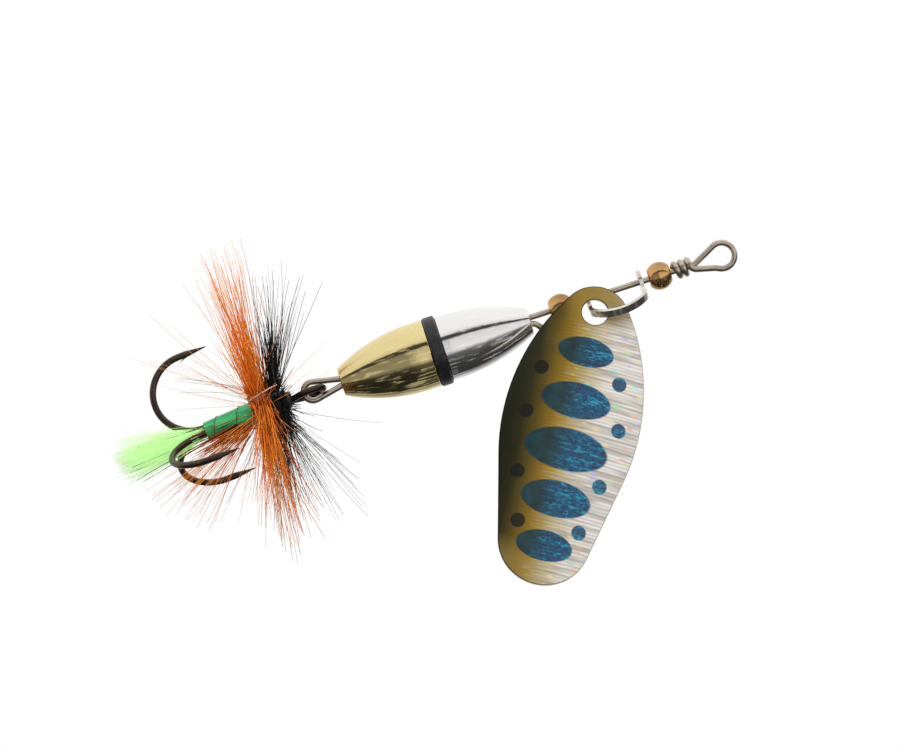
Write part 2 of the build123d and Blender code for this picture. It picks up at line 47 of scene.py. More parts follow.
# ---------------- node building ----------------
class Shader:
    """Short calls that add nodes to one material."""

    def __init__(self, name):
        self.material = bpy.data.materials.new(name)
        self.material.use_nodes = True
        self.tree = self.material.node_tree
        self.surface = self.tree.nodes["Principled BSDF"]
        self.place = self.node("ShaderNodeTexCoord").outputs["Object"]

    def node(self, kind, **settings):
        made = self.tree.nodes.new(kind)
        for key, value in settings.items():
            setattr(made, key, value)
        return made

    def feed(self, socket, value):
        """A link where value is an output, and a plain setting where it isn't."""
        if isinstance(value, bpy.types.NodeSocket):
            self.tree.links.new(value, socket)
        else:
            socket.default_value = value

    def math(self, kind, a, b=0.0, c=0.0):
        made = self.node("ShaderNodeMath", operation=kind)
        for socket, value in zip(made.inputs, (a, b, c)):
            self.feed(socket, value)
        return made.outputs[0]

    def vector(self, kind, a, b):
        made = self.node("ShaderNodeVectorMath", operation=kind)
        self.feed(made.inputs[0], a)
        self.feed(made.inputs[1], b)
        return made.outputs["Value"] if kind == "DOT_PRODUCT" else made.outputs["Vector"]

    def combine(self, x, y, z):
        made = self.node("ShaderNodeCombineXYZ")
        for socket, value in zip(made.inputs, (x, y, z)):
            self.feed(socket, value)
        return made.outputs[0]

    def noise(self, scale, detail, where=None):
        made = self.node("ShaderNodeTexNoise")
        self.feed(made.inputs["Vector"], where or self.place)
        self.feed(made.inputs["Scale"], scale)
        self.feed(made.inputs["Detail"], detail)
        self.feed(made.inputs["Roughness"], NOISE_ROUGHNESS)
        return made.outputs["Fac"]

    def cells(self, where, output="Color"):
        """One colour for each cell, or the distance to its middle."""
        made = self.node("ShaderNodeTexVoronoi")
        self.feed(made.inputs["Vector"], where)
        self.feed(made.inputs["Scale"], 1.0)
        return made.outputs[output]

    def ramp(self, value, *stops):
        """Colour ramp; each stop is a position and a grey value or a colour."""
        made = self.node("ShaderNodeValToRGB")
        self.feed(made.inputs[0], value)
        points = made.color_ramp.elements
        while len(points) < len(stops):
            points.new(0.5)
        for point, (position, colour) in zip(points, stops):
            point.position = position
            shade = (colour,) * 3 if isinstance(colour, (int, float)) else colour
            point.color = (*shade, 1)
        return made.outputs["Color"]

    def blend(self, factor, a, b):
        """Colour a where the factor is 0 and colour b where it is 1."""
        made = self.node("ShaderNodeMix", data_type="RGBA")
        self.feed(made.inputs["Factor"], factor)
        for index, value in ((MIX_A, a), (MIX_B, b)):
            plain = isinstance(value, tuple)
            self.feed(made.inputs[index], (*value, 1) if plain else value)
        return made.outputs[MIX_RESULT]

    def bump(self, height, strength, distance):
        made = self.node("ShaderNodeBump")
        self.feed(made.inputs["Height"], height)
        self.feed(made.inputs["Strength"], strength)
        self.feed(made.inputs["Distance"], distance)
        self.tree.links.new(made.outputs[0], self.surface.inputs["Normal"])

    def set(self, **values):
        for key, value in values.items():
            socket = self.surface.inputs[key.replace("_", " ")]
            if isinstance(value, tuple):
                value = (*value, 1)
            self.feed(socket, value)


def metal(name, light, dark, rough, grain, tarnish):
    """Bright metal with faint drawing lines, darker stained patches and fine scratches."""
    s = Shader(name)
    along = s.vector("MULTIPLY", s.place, (1.0, 1.0, 0.12))
    patches = s.ramp(s.noise(grain * 0.22, 4), (0.42, 0), (0.72, 1))
    lines = s.noise(grain, 3, along)
    stain = s.math("MULTIPLY", patches, tarnish)
    s.set(Base_Color=s.blend(stain, light, dark), Metallic=1.0)
    s.set(Roughness=s.math("MULTIPLY_ADD", lines, 0.08, rough))
    s.bump(s.noise(grain * 2.5, 2, along), 0.12, 0.00002)
    return s.material


# ---------------- light, floor and camera ----------------
# Azimuth in degrees about the shaft, from the camera's side, and the grey reflected from there.
TENT = (
    (-180, 0.95), (-60, 0.88), (-45, 0.74), (-40, 0.06), (-30, 0.05), (-24, 0.66), (14, 0.80),
    (30, 0.12), (58, 0.05), (112, 0.03), (128, 0.30), (150, 0.62), (172, 0.95),
)
# Where the low part of the tent is darkened.
LOW_ZONE = ((-33, 0.12), (-27, 1.0), (60, 1.0), (110, 0.3))
LOW_SHADE = ((0.42, 0.36), (0.53, 1.0))
CLUTTER = ((0.56, 0.0), (0.64, 0.42))
CLUTTER_SCALE = 5.5
CLUTTER_DETAIL = 5.0
CLUTTER_AMOUNT = 0.8
TENT_STRENGTH = 1.05


def studio():
    """White to the camera. For reflections, a light tent with dark gaps, turned about the shaft."""
    world = bpy.data.worlds.new("light_tent")
    bpy.context.scene.world = world
    world.use_nodes = True
    tree = world.node_tree
    add, link = tree.nodes.new, tree.links.new

    def arithmetic(kind, source, *settings):
        made = add("ShaderNodeMath")
        made.operation = kind
        link(source, made.inputs[0])
        for socket, value in zip(made.inputs[1:], settings):
            socket.default_value = value
        return made

    def greys(source, stops):
        made = add("ShaderNodeValToRGB")
        link(source, made.inputs[0])
        points = made.color_ramp.elements
        while len(points) < len(stops):
            points.new(0.5)
        for point, (position, grey) in zip(points, stops):
            point.position = position
            point.color = (grey, grey, grey, 1)
        return made.outputs[0]

    def mixed(kind, factor, a, b):
        made = add("ShaderNodeMix")
        made.data_type = "RGBA"
        made.blend_type = kind
        if isinstance(factor, float):
            made.inputs["Factor"].default_value = factor
        else:
            link(factor, made.inputs["Factor"])
        link(a, made.inputs[MIX_A])
        link(b, made.inputs[MIX_B])
        return made.outputs[MIX_RESULT]

    def azimuths(stops):
        return [((degrees + 180) / 360, grey) for degrees, grey in stops]

    spot = add("ShaderNodeTexCoord")
    parts = add("ShaderNodeSeparateXYZ")
    link(spot.outputs["Generated"], parts.inputs[0])
    front = arithmetic("MULTIPLY", parts.outputs["Y"], -1.0)
    around = arithmetic("ARCTAN2", parts.outputs["X"])
    link(front.outputs[0], around.inputs[1])
    turn = arithmetic("MULTIPLY_ADD", around.outputs[0], 0.5 / math.pi, 0.5).outputs[0]
    # Z runs from -1 to 1 and a ramp only sees 0 to 1, so it is shifted first
    height = arithmetic("MULTIPLY_ADD", parts.outputs["Z"], 0.5, 0.5).outputs[0]
    clutter = add("ShaderNodeTexNoise")
    link(spot.outputs["Generated"], clutter.inputs["Vector"])
    clutter.inputs["Scale"].default_value = CLUTTER_SCALE
    clutter.inputs["Detail"].default_value = CLUTTER_DETAIL
    patches = greys(clutter.outputs["Fac"], CLUTTER)
    zone = greys(turn, azimuths(LOW_ZONE))
    shaded = mixed("MULTIPLY", zone, greys(turn, azimuths(TENT)), greys(height, LOW_SHADE))
    room = mixed("SCREEN", CLUTTER_AMOUNT, shaded, patches)
    lit = add("ShaderNodeBackground")
    link(room, lit.inputs["Color"])
    lit.inputs["Strength"].default_value = TENT_STRENGTH
    plain = add("ShaderNodeBackground")
    plain.inputs["Color"].default_value = (1, 1, 1, 1)
    plain.inputs["Strength"].default_value = 1.0
    rays = add("ShaderNodeLightPath")
    mix = add("ShaderNodeMixShader")
    link(rays.outputs["Is Camera Ray"], mix.inputs["Fac"])
    link(lit.outputs[0], mix.inputs[1])
    link(plain.outputs[0], mix.inputs[2])
    link(mix.outputs[0], tree.nodes["World Output"].inputs["Surface"])


def lamp(name, place, target, size, power):
    """Square area light that looks at the target and leaves no shape of its own in the metal."""
    data = bpy.data.lights.new(name, "AREA")
    data.size = size
    data.energy = power
    made = bpy.data.objects.new(name, data)
    bpy.context.scene.collection.objects.link(made)
    made.location = place
    made.rotation_mode = "QUATERNION"
    made.rotation_quaternion = (Vector(target) - Vector(place)).to_track_quat("-Z", "Y")
    made.visible_glossy = False


FLOOR_Z = -0.150
FLOOR_R = 0.30
FLOOR_SIDES = 96


def floor():
    """Round pale table well below the hanging lure."""
    verts = [(0, 0, FLOOR_Z)]
    for i in range(FLOOR_SIDES):
        angle = 2 * math.pi * i / FLOOR_SIDES
        verts.append((FLOOR_R * math.cos(angle), FLOOR_R * math.sin(angle), FLOOR_Z))
    faces = [(0, i + 1, (i + 1) % FLOOR_SIDES + 1) for i in range(FLOOR_SIDES)]
    mesh = bpy.data.meshes.new("floor")
    mesh.from_pydata(verts, [], faces)
    made = bpy.data.objects.new("floor", mesh)
    bpy.context.scene.collection.objects.link(made)
    s = Shader("floor_paper")
    s.set(Base_Color=s.ramp(s.noise(300, 2), (0.3, 0.84), (0.7, 0.88)), Roughness=0.85)
    mesh.materials.append(s.material)
    made.visible_glossy = False


TILT = math.radians(17.9)      # the shaft runs this far from level in the picture
CENTRE = Vector((3.2, 0, -31.4)) * MM
CAMERA_DISTANCE = 0.399
LENS = 150
SENSOR_WIDTH = 36
NEAREST_SEEN = 0.01


def camera():
    """Square to the shaft, and rolled so that it rises to the right."""
    data = bpy.data.cameras.new("camera")
    data.lens = LENS
    data.sensor_width = SENSOR_WIDTH
    data.clip_start = NEAREST_SEEN
    made = bpy.data.objects.new("camera", data)
    bpy.context.scene.collection.objects.link(made)
    right = Vector((math.sin(TILT), 0, math.cos(TILT)))
    up = Vector((-math.cos(TILT), 0, math.sin(TILT)))
    back = right.cross(up)
    made.matrix_world = Matrix((
        (right.x, up.x, back.x, CENTRE.x + back.x * CAMERA_DISTANCE),
        (right.y, up.y, back.y, CENTRE.y + back.y * CAMERA_DISTANCE),
        (right.z, up.z, back.z, CENTRE.z + back.z * CAMERA_DISTANCE),
        (0, 0, 0, 1),
    ))
    bpy.context.scene.camera = made


bpy.context.scene.view_settings.view_transform = "Standard"
studio()
floor()
camera()
KEY_PLACE = (-0.25, -0.30, 0.05)
KEY_TARGET = (0, 0, -0.03)
KEY_SIZE = 0.25
KEY_POWER = 1.0
lamp("key", KEY_PLACE, KEY_TARGET, KEY_SIZE, KEY_POWER)


# ---------------- metal parts ----------------
def dress(names, material):
    """Puts a material on every slot of these CAD nodes."""
    for name in names:
        slots = nodes[name].material_slots
        for slot in slots:
            slot.material = material
        if not slots:
            nodes[name].data.materials.append(material)


steel = metal("drawn_steel", (0.66, 0.58, 0.48), (0.20, 0.13, 0.08), 0.20, 2600, 0.55)
brass = metal("bead_brass", (0.78, 0.47, 0.19), (0.20, 0.085, 0.025), 0.12, 1100, 0.9)
nickel = metal("clevis_nickel", (0.86, 0.82, 0.76), (0.38, 0.26, 0.17), 0.16, 1800, 0.6)
bronze = metal("hook_bronze", (0.115, 0.085, 0.068), (0.035, 0.028, 0.026), 0.26, 1600, 0.7)
dress(["shaft_wire"], steel)
dress(["front_bead", "rear_bead"], brass)
dress(["clevis"], nickel)
dress(["double_hook", "single_hook"], bronze)


def plated(name, light, dark):
    """Mirror plating with fine pits, brown specks and small rubbed marks."""
    s = Shader(name)
    specks = s.ramp(s.noise(5200, 3), (0.60, 0), (0.70, 1))
    rubbed = s.ramp(s.noise(420, 5), (0.55, 0), (0.75, 1))
    worn = s.math("MULTIPLY", specks, s.math("MULTIPLY_ADD", rubbed, 0.8, 0.12))
    s.set(Base_Color=s.blend(worn, light, dark), Metallic=1.0)
    s.set(Roughness=s.math("MULTIPLY_ADD", rubbed, 0.07, 0.055))
    ripple = s.math("ADD", s.noise(260, 2), s.math("MULTIPLY", s.noise(2400, 3), 0.10))
    s.bump(ripple, 0.22, 0.00018)
    return s.material


dress(["body_front"], plated("body_chrome", (0.93, 0.91, 0.90), (0.20, 0.17, 0.16)))
dress(["body_rear"], plated("body_gold", (0.90, 0.74, 0.36), (0.22, 0.14, 0.05)))


def ring_black():
    s = Shader("ring_black")
    scuffs = s.ramp(s.noise(2600, 4), (0.55, 0), (0.75, 1))
    s.set(Base_Color=s.blend(scuffs, (0.012, 0.012, 0.014), (0.045, 0.045, 0.05)))
    s.set(Roughness=s.math("MULTIPLY_ADD", s.noise(1800, 3), 0.25, 0.28))
    s.bump(s.noise(5200, 3), 0.25, 0.00002)
    return s.material


dress(["body_ring"], ring_black())

# ---------------- blade ----------------
# Lengths along and across the blade are in millimetres, from the middle of its hole.
BLADE_SPAN = 14.0
BLADE_REACH = 30.0
LINE_PITCH = 0.37
FIRST_BAR, BAR_STEP, BAR_COUNT = 4.5, 5.35, 5
DARK_SPOT_R, BLUE_SPOT_R = 0.76, 0.78
DARK_SPOTS = ((7.1, -4.2), (12.0, -4.75), (18.5, -4.2), (23.6, -3.0))
BLUE_SPOTS = ((7.05, 4.2), (11.9, 5.2), (18.2, 4.55), (23.45, 3.5))
HOLE = Vector((1.65, -2.4, -14.8)) * MM
DROP = math.radians(31.3)
LEAN = math.radians(12.0)
LONG = Vector((math.cos(LEAN) * math.cos(DROP), -math.sin(LEAN), -math.cos(LEAN) * math.sin(DROP)))
FACE = Vector((-math.sin(LEAN) * math.cos(DROP), -math.cos(LEAN), math.sin(LEAN) * math.sin(DROP)))
ACROSS = FACE.cross(LONG)


def blade_place(s):
    """Distance along the blade from its hole, and across it, in millimetres."""
    local = s.vector("SUBTRACT", s.place, tuple(HOLE))
    along = s.vector("DOT_PRODUCT", local, tuple(LONG / MM))
    across = s.vector("DOT_PRODUCT", local, tuple(ACROSS / MM))
    return along, across


def oval(s, along, across, centre, half_along, half_across, soft):
    """1 inside an oval and 0 outside it."""
    u = s.math("DIVIDE", s.math("SUBTRACT", along, centre[0]), half_along)
    v = s.math("DIVIDE", s.math("SUBTRACT", across, centre[1]), half_across)
    reach = s.math("SQRT", s.math("ADD", s.math("MULTIPLY", u, u), s.math("MULTIPLY", v, v)))
    edge = s.math("DIVIDE", s.math("SUBTRACT", 1.0, reach), soft)
    made = s.node("ShaderNodeClamp")
    s.feed(made.inputs[0], s.math("ADD", edge, 0.5))
    return made.outputs[0]


def union(s, shapes):
    """1 where any of these shapes is 1."""
    total = shapes[0]
    for shape in shapes[1:]:
        total = s.math("MAXIMUM", total, shape)
    return total


def foil():
    """Printed holographic foil: olive back, silver belly, blue bars and two rows of spots."""
    s = Shader("blade_print")
    along, across = blade_place(s)
    side = s.math("ADD", across, s.math("MULTIPLY_ADD", s.noise(220, 2), 1.2, -0.6))
    shade = s.math("MULTIPLY_ADD", side, 1 / BLADE_SPAN, 0.5)

    # fine lines across the blade, and flecks of colour that follow them
    wander = s.math("MULTIPLY_ADD", s.noise(700, 2), 0.12, along)
    lines = s.math("SINE", s.math("MULTIPLY", wander, 2 * math.pi / LINE_PITCH))
    broad = s.noise(1.0, 3, s.combine(s.math("MULTIPLY", along, 1.9), s.math("MULTIPLY", across, 0.12), 0.0))
    streak = s.noise(1.0, 2, s.combine(s.math("MULTIPLY", along, 5.5), s.math("MULTIPLY", across, 0.45), 3.0))
    grid = s.combine(s.math("MULTIPLY", along, 2.9), s.math("MULTIPLY", across, 0.8), 0.0)
    fleck_hue = s.cells(grid)
    fleck_near = s.cells(grid, "Distance")
    chance = s.node("ShaderNodeSeparateColor")
    s.feed(chance.inputs[0], fleck_hue)
    lucky = s.ramp(chance.outputs[0], (0.70, 0), (0.74, 1))
    fleck = s.math("MULTIPLY", lucky, s.ramp(fleck_near, (0.25, 1), (0.42, 0)))

    base = s.ramp(
        shade,
        (0.04, (0.010, 0.012, 0.004)), (0.16, (0.026, 0.024, 0.005)), (0.25, (0.105, 0.068, 0.005)),
        (0.36, (0.290, 0.165, 0.004)), (0.46, (0.460, 0.300, 0.030)), (0.57, (0.68, 0.58, 0.34)),
        (0.70, (0.88, 0.84, 0.78)), (0.90, (0.97, 0.94, 0.91)),
    )
    belly = s.ramp(shade, (0.36, 0), (0.58, 1))
    striping = s.math("MULTIPLY", belly, s.ramp(broad, (0.44, 0), (0.58, 0.62)))
    base = s.blend(striping, base, (0.34, 0.31, 0.26))
    warm = s.math("MULTIPLY", belly, s.ramp(streak, (0.50, 0), (0.64, 0.34)))
    base = s.blend(warm, base, (0.98, 0.70, 0.42))
    ruling = s.ramp(shade, (0.12, 0.0), (0.3, 0.22), (0.6, 0.26))
    ruled = s.math("MULTIPLY", ruling, s.math("MULTIPLY_ADD", lines, 0.5, 0.5))
    base = s.blend(ruled, base, (0.08, 0.07, 0.05))
    hues = s.ramp(
        chance.outputs[1],
        (0.10, (1.0, 0.42, 0.30)), (0.30, (1.0, 0.86, 0.22)), (0.50, (0.30, 0.92, 0.32)),
        (0.70, (0.22, 0.84, 0.84)), (0.90, (0.48, 0.42, 1.0)),
    )
    base = s.blend(s.math("MULTIPLY", fleck, s.math("MULTIPLY", belly, 0.75)), base, hues)

    # gold wash round the hole and at the olive side of the tip
    top_gold = s.math("MULTIPLY", s.ramp(s.math("MULTIPLY_ADD", along, -0.2, 0.75), (0.35, 0), (0.75, 1)),
                      s.ramp(shade, (0.25, 0), (0.40, 1), (0.66, 0.8), (0.86, 0)))
    base = s.blend(top_gold, base, (0.30, 0.20, 0.035))
    tip = s.ramp(s.math("DIVIDE", along, BLADE_REACH), (0.84, 0), (0.93, 1))
    tip_gold = s.math("MULTIPLY", tip, s.ramp(shade, (0.10, 0.9), (0.62, 0)))
    base = s.blend(tip_gold, base, (0.36, 0.25, 0.07))

    # five bars, longest in the middle of the blade
    bars = []
    for i in range(BAR_COUNT):
        swell = 1 - abs(i - 2) / 2
        last = i == BAR_COUNT - 1
        centre = (FIRST_BAR + BAR_STEP * i - 0.3 * last, 0.12 * i - 0.2 * last)
        bars.append(oval(s, along, across, centre, 1.6 + 0.65 * swell, 3.0 + 1.45 * swell, 0.06))
    pixels = s.combine(s.math("MULTIPLY", along, 7.5), s.math("MULTIPLY", across, 3.2), 0.0)
    mosaic = s.node("ShaderNodeSeparateColor")
    s.feed(mosaic.inputs[0], s.cells(pixels))
    spark = s.math("MULTIPLY", mosaic.outputs[1], s.ramp(broad, (0.40, 0.35), (0.6, 1.0)))
    lit_blue = s.ramp(
        spark, (0.0, (0.001, 0.034, 0.090)), (0.45, (0.002, 0.100, 0.225)), (0.85, (0.010, 0.33, 0.48)),
    )
    dim_blue = s.ramp(s.noise(900, 3), (0.3, (0.008, 0.030, 0.036)), (0.7, (0.014, 0.062, 0.078)))
    bar_side = s.ramp(s.math("MULTIPLY_ADD", side, 1 / 9, 0.5), (0.34, 0), (0.62, 1))
    ink = s.blend(bar_side, dim_blue, lit_blue)
    base = s.blend(s.math("MULTIPLY", union(s, bars), 0.97), base, ink)

    # black spots along the back and blue spots along the belly, between the bars
    dark_spots = [oval(s, along, across, place, DARK_SPOT_R, DARK_SPOT_R, 0.12) for place in DARK_SPOTS]
    blue_spots = [oval(s, along, across, place, BLUE_SPOT_R, BLUE_SPOT_R, 0.12) for place in BLUE_SPOTS]
    base = s.blend(s.math("MULTIPLY", union(s, dark_spots), 0.9), base, (0.010, 0.011, 0.009))
    base = s.blend(s.math("MULTIPLY", union(s, blue_spots), 0.95), base, lit_blue)
    s.set(Base_Color=base, Metallic=s.ramp(shade, (0.25, 0.35), (0.6, 0.25)))
    s.set(Roughness=s.math("MULTIPLY_ADD", streak, 0.2, 0.30))
    s.set(Coat_Weight=0.25, Coat_Roughness=0.15, Specular_IOR_Level=0.3)
    s.bump(s.math("ADD", lines, s.math("MULTIPLY", s.noise(5200, 2), 0.4)), 0.08, 0.00002)
    return s.material


def blade_metal():
    """Plated brass sheet, silvery inside, with a brown lacquer line round its edge."""
    s = Shader("blade_metal")
    along, across = blade_place(s)
    hammer = s.noise(900, 3)
    stain = s.ramp(s.noise(300, 5), (0.5, 0), (0.75, 0.5))
    bright = s.blend(stain, (0.74, 0.70, 0.62), (0.36, 0.27, 0.16))
    facing = s.node("ShaderNodeTexCoord").outputs["Normal"]
    printed = s.ramp(s.vector("DOT_PRODUCT", facing, tuple(FACE)), (0.35, 0), (0.6, 1))
    shade = s.math("MULTIPLY_ADD", across, 1 / BLADE_SPAN, 0.5)
    around_hole = oval(s, along, across, (0.0, 0.0), 1.9, 1.9, 0.2)
    lacquer = s.ramp(
        shade, (0.05, (0.012, 0.012, 0.005)), (0.3, (0.07, 0.05, 0.012)), (0.6, (0.30, 0.21, 0.09)),
        (0.85, (0.62, 0.56, 0.46)),
    )
    lacquer = s.blend(around_hole, lacquer, (0.20, 0.115, 0.035))
    s.set(Base_Color=s.blend(printed, bright, lacquer), Metallic=1.0)
    s.set(Roughness=s.math("MULTIPLY_ADD", hammer, 0.12, 0.20))
    s.bump(s.noise(2600, 3), 0.10, 0.00003)
    return s.material


dress(["blade_foil"], foil())
dress(["blade"], blade_metal())

# ---------------- dressing on the hook ----------------
# Everything here is made upright about the shanks, then tilted with the hook about its hanging point.
AXIS = Vector((0.153, 0.036, 0)) * MM
HANG = Vector((0.36, 0, -44.65)) * MM
HOOK_TILT = math.radians(-3.4)
HANG_TURN = Matrix.Translation(HANG) @ Matrix.Rotation(HOOK_TILT, 4, "Y") @ Matrix.Translation(-HANG)
HEAD_TOP = -48.35 * MM
BLACK_TOP = -49.30 * MM
ORANGE_TOP = -50.40 * MM
FLOSS_TOP = -52.60 * MM
TUFT_TOP = -57.95 * MM
TUFT_END = -67.75 * MM


def piece(name, verts, faces, material, slot, stands_for=(), tint=()):
    """Smooth mesh that rides on the treble."""
    mesh = bpy.data.meshes.new(name)
    mesh.from_pydata([tuple(HANG_TURN @ v) for v in verts], [], faces)
    mesh.polygons.foreach_set("use_smooth", [True] * len(mesh.polygons))
    if tint:
        mesh.attributes.new("tint", "FLOAT", "POINT").data.foreach_set("value", tint)
    mesh.materials.append(material)
    made = bpy.data.objects.new(name, mesh)
    bpy.context.scene.collection.objects.link(made)
    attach(made, "treble")
    if stands_for:
        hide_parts(*stands_for)
    return made


def wound(name, height, profile, turns, depth, material, slot, stands_for):
    """Thread or quill laid turn beside turn; height runs from top to end and profile gives the radius."""
    top, end = height
    rows, columns = int(turns * 10), 40
    verts = []
    for i in range(rows + 1):
        t = i / rows
        for k in range(columns):
            angle = 2 * math.pi * k / columns
            ridge = abs(math.sin(math.pi * (turns * t + k / columns)))
            uneven = 0.35 * math.sin(3 * angle + 2.1 * math.floor(turns * t + k / columns))
            radius = profile(t) + depth * (ridge - 1 + 0.4 * uneven)
            out = Vector((math.cos(angle), math.sin(angle), 0)) * radius
            verts.append(AXIS + out + Vector((0, 0, top + (end - top) * t)))
    faces = []
    for i in range(rows):
        for k in range(columns):
            a, b = i * columns + k, i * columns + (k + 1) % columns
            faces.append((a, a + columns, b + columns, b))
    faces.append(tuple(range(columns)))
    faces.append(tuple(reversed(range(rows * columns, (rows + 1) * columns))))
    return piece(name, verts, faces, material, slot, stands_for)


class Strands:
    """Many thin tapered strands in one mesh, each with its own tint."""

    def __init__(self):
        self.verts, self.faces, self.tint = [], [], []

    def add(self, points, root_r, tip_r, tint, sides=3, flat=1.0):
        first, last = len(self.verts), len(points) - 1
        reference = (points[-1] - points[0]).orthogonal().normalized()
        for i, point in enumerate(points):
            ahead = (points[min(i + 1, last)] - points[max(i - 1, 0)]).normalized()
            side = (reference - ahead * reference.dot(ahead)).normalized()
            other = ahead.cross(side) * flat
            radius = root_r + (tip_r - root_r) * i / last
            for k in range(sides):
                angle = 2 * math.pi * k / sides
                self.verts.append(point + (side * math.cos(angle) + other * math.sin(angle)) * radius)
                # the tint rises towards each tip; on the black barbs this brings in their painted sheen
                self.tint.append(min(1.0, max(0.0, tint + 0.25 * (i / last - 0.4))))
        for i in range(last):
            for k in range(sides):
                a = first + i * sides + k
                b = first + i * sides + (k + 1) % sides
                self.faces.append((a, b, b + sides, a + sides))
        self.faces.append(tuple(range(first + sides - 1, first - 1, -1)))
        end = first + last * sides
        self.faces.append(tuple(range(end, end + sides)))


def curve_points(root, first_way, last_way, length, steps, wave=0.0):
    """Points on a gentle curve that leaves along first_way and ends along last_way."""
    middle = root + first_way * length / 2
    tip = middle + last_way * length / 2
    swing = first_way.orthogonal().normalized() * wave
    phase = rng.uniform(0, 6)
    points = []
    for i in range(steps + 1):
        t = i / steps
        smooth = root * (1 - t) ** 2 + middle * 2 * t * (1 - t) + tip * t**2
        points.append(smooth + swing * t * math.sin(phase + 5 * t))
    return points


def barb(strands, azimuth, height, hub_r, length, sweep, tint, thick=0.030, curl=0.16):
    """One hackle barb. sweep is its slope along the hook: + towards the eye."""
    around = math.radians(azimuth)
    out = Vector((math.cos(around), math.sin(around), 0))
    root = AXIS + out * hub_r * 0.8 * MM + Vector((0, 0, height * MM))
    slope = math.radians(sweep)
    way = out * math.cos(slope) + Vector((0, 0, math.sin(slope)))
    bend = Vector((rng.gauss(0, curl), rng.gauss(0, curl), rng.gauss(0, curl)))
    later = (way + bend).normalized()
    points = curve_points(root, way, later, length * MM, 7, 0.10 * MM)
    strands.add(points, thick * MM, thick * 0.42 * MM, tint)


def spray(strands, count, azimuth, heights, hub_r, lengths, sweep, tint, thick=0.036, curl=0.12):
    """A bunch of barbs. azimuth, sweep and tint are each a middle and a spread."""
    for _ in range(count):
        barb(
            strands, rng.gauss(*azimuth), rng.uniform(*heights), hub_r, rng.triangular(*lengths),
            rng.gauss(*sweep), rng.gauss(*tint), thick * rng.uniform(0.7, 1.3), curl,
        )


def drape(strands, count, heights, hub_r, lengths, tint, thick):
    """Barbs that lie over the near side of the hub before they leave towards +X."""
    for _ in range(count):
        around = math.radians(rng.uniform(-140, -40))
        out = Vector((math.cos(around), math.sin(around), 0))
        root = AXIS + out * hub_r * MM + Vector((0, 0, rng.uniform(*heights) * MM))
        leave = (out * 0.8 + Vector((0.8, -0.2, rng.gauss(-0.02, 0.12)))).normalized()
        settle = Vector((1.0, rng.gauss(-0.12, 0.2), rng.gauss(-0.14, 0.14))).normalized()
        points = curve_points(root, leave, settle, rng.triangular(*lengths) * MM, 8, 0.12 * MM)
        radius = thick * rng.uniform(0.7, 1.3) * MM
        strands.add(points, radius, radius * 0.3, rng.gauss(*tint))


def feather(name, stops, sheen):
    """Barbs: colour by strand, mottled along each one, a little glossy."""
    s = Shader(name)
    own = s.node("ShaderNodeAttribute", attribute_name="tint").outputs["Fac"]
    mottled = s.math("ADD", own, s.math("MULTIPLY_ADD", s.noise(1400, 2), 0.3, -0.15))
    s.set(Base_Color=s.ramp(mottled, *stops), Roughness=0.5, Sheen_Weight=sheen, Specular_IOR_Level=0.25)
    s.bump(s.noise(9000, 2), 0.2, 0.00001)
    return s.material


def winding(name, light, dark, rough, grain, lengthwise=False):
    """Wound thread or quill, with fibres that run round the hook."""
    s = Shader(name)
    round_way = s.vector("MULTIPLY", s.place, (1.0, 1.0, 0.15) if lengthwise else (0.15, 0.15, 1.0))
    fibres = s.noise(grain, 4, round_way)
    s.set(Base_Color=s.blend(s.ramp(fibres, (0.35, 0), (0.7, 1)), dark, light), Roughness=rough)
    s.set(Sheen_Weight=0.3)
    s.bump(fibres, 0.5, 0.00003)
    return s.material


orange = feather(
    "orange_barb",
    ((0.0, (0.060, 0.012, 0.003)), (0.20, (0.40, 0.070, 0.005)), (0.45, (1.00, 0.210, 0.010)),
     (0.75, (1.00, 0.330, 0.025)), (1.0, (1.00, 0.55, 0.16))), 0.0,
)
# black barbs: near-black tone by strand, and the grey-brown top of this ramp, reached towards the strand
# tips, is a painted sheen
black = feather(
    "black_barb",
    ((0.0, (0.006, 0.006, 0.007)), (0.5, (0.012, 0.011, 0.012)), (0.85, (0.045, 0.040, 0.040)),
     (1.0, (0.10, 0.085, 0.075))), 0.0,
)
quill_pale = feather("quill_stem", ((0.0, (0.72, 0.42, 0.30)), (1.0, (0.86, 0.64, 0.52))), 0.1)

orange_strands = Strands()
HUB = (-52.5, -50.4)
spray(orange_strands, 80, (180, 12), HUB, 1.8, (8, 17.8, 14), (5.0, 5.0), (0.55, 0.2), 0.050)
spray(orange_strands, 60, (180, 24), HUB, 1.8, (4, 11, 7), (4.0, 7), (0.42, 0.18), 0.055)
spray(orange_strands, 60, (0, 16), HUB, 1.8, (8, 16, 13), (-9, 6.0), (0.55, 0.22), 0.050)
spray(orange_strands, 60, (-36, 26), HUB, 1.8, (5, 13, 9), (-7, 8), (0.50, 0.2), 0.055)
spray(orange_strands, 45, (48, 30), HUB, 1.8, (5, 12, 9), (-7, 9), (0.42, 0.18), 0.045)
spray(orange_strands, 26, (-128, 22), HUB, 1.8, (3, 7, 4), (3, 8), (0.50, 0.18), 0.045)
spray(orange_strands, 30, (122, 24), HUB, 1.8, (4, 11, 8), (-3, 9), (0.45, 0.16))
spray(orange_strands, 50, (-8, 24), (-53.0, -52.0), 1.2, (8, 14.5, 11), (-62, 9), (0.55, 0.22), 0.040)
spray(orange_strands, 60, (-16, 36), (-53.0, -52.2), 0.9, (5, 8.5, 6.5), (-74, 5), (0.06, 0.14), 0.055, 0.05)
spray(orange_strands, 34, (0, 50), (-52.6, -50.8), 1.5, (8, 16, 12), (-34, 14), (0.72, 0.16), 0.032)
spray(orange_strands, 20, (180, 50), (-52.6, -50.8), 1.5, (8, 16, 12), (-38, 16), (0.75, 0.16), 0.028)
spray(orange_strands, 10, (190, 60), (-51.4, -50.6), 1.5, (6, 12, 9), (33, 14), (0.75, 0.14), 0.028)
